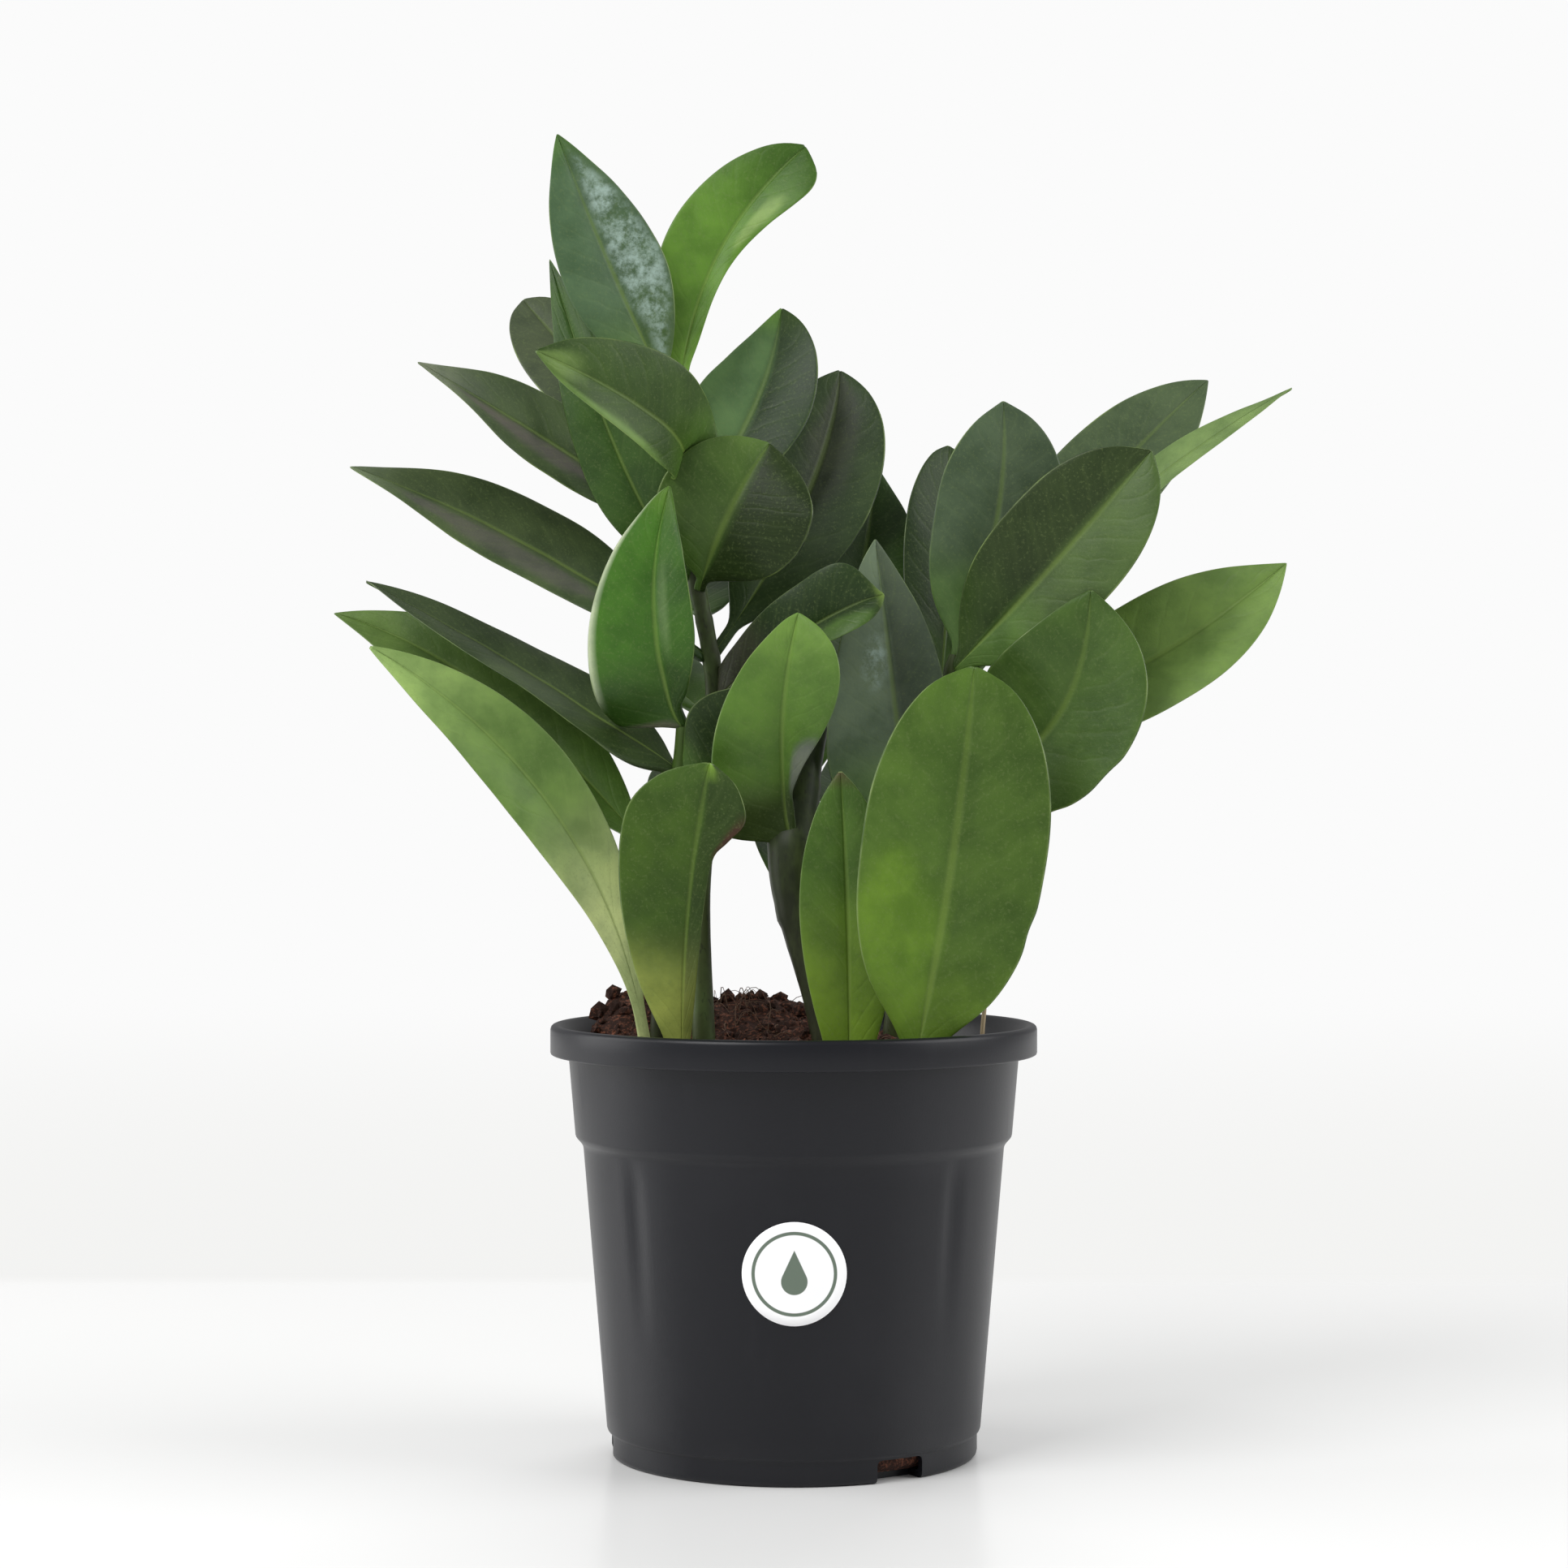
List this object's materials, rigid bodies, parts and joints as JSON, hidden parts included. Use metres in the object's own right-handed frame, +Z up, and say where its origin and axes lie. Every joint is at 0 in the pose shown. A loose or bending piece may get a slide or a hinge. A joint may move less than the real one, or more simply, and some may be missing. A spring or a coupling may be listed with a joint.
{
  "type": "potted zz plant",
  "caption": "Leafy ZZ plant with upright stems and glossy oval leaves, planted in soil in a round tapered nursery pot with a rolled rim, drain notches and a plain round label.",
  "frame": {"origin": "centre of the pot's base, on the surface it stands on", "axes": "+Z up along the pot's axis; the label and the fuller side of the plant face -Y; the plant spreads widest along X"},
  "size_m": [0.2414, 0.1223, 0.3256],
  "materials": {
    "pot": "satin",
    "soil": "rough, fibrous",
    "label": "smooth",
    "stem": "satin",
    "leaf": "waxy gloss"
  },
  "bodies": {
    "root": {"label": "label", "leaf_centre_1": "leaf", "leaf_centre_2": "leaf", "leaf_centre_3": "leaf", "leaf_centre_4": "leaf", "leaf_centre_5": "leaf", "leaf_right_1": "leaf", "leaf_right_10": "leaf", "leaf_right_2": "leaf", "leaf_right_3": "leaf", "leaf_right_4": "leaf", "leaf_right_5": "leaf", "leaf_right_6": "leaf", "leaf_right_7": "leaf", "leaf_right_8": "leaf", "leaf_right_9": "leaf", "leaf_short_1": "leaf", "leaf_short_2": "leaf", "leaf_short_3": "leaf", "leaf_short_4": "leaf", "leaf_soil_front": "leaf", "leaf_soil_left": "leaf", "leaf_soil_middle": "leaf", "leaf_soil_right": "leaf", "leaf_tall_1": "leaf", "leaf_tall_10": "leaf", "leaf_tall_11": "leaf", "leaf_tall_12": "leaf", "leaf_tall_13": "leaf", "leaf_tall_14": "leaf", "leaf_tall_2": "leaf", "leaf_tall_3": "leaf", "leaf_tall_4": "leaf", "leaf_tall_5": "leaf", "leaf_tall_6": "leaf", "leaf_tall_7": "leaf", "leaf_tall_8": "leaf", "leaf_tall_9": "leaf", "pot": "pot", "soil": "soil", "stem_centre": "stem", "stem_right": "stem", "stem_short": "stem", "stem_tall": "stem"}
  },
  "joints": []
}
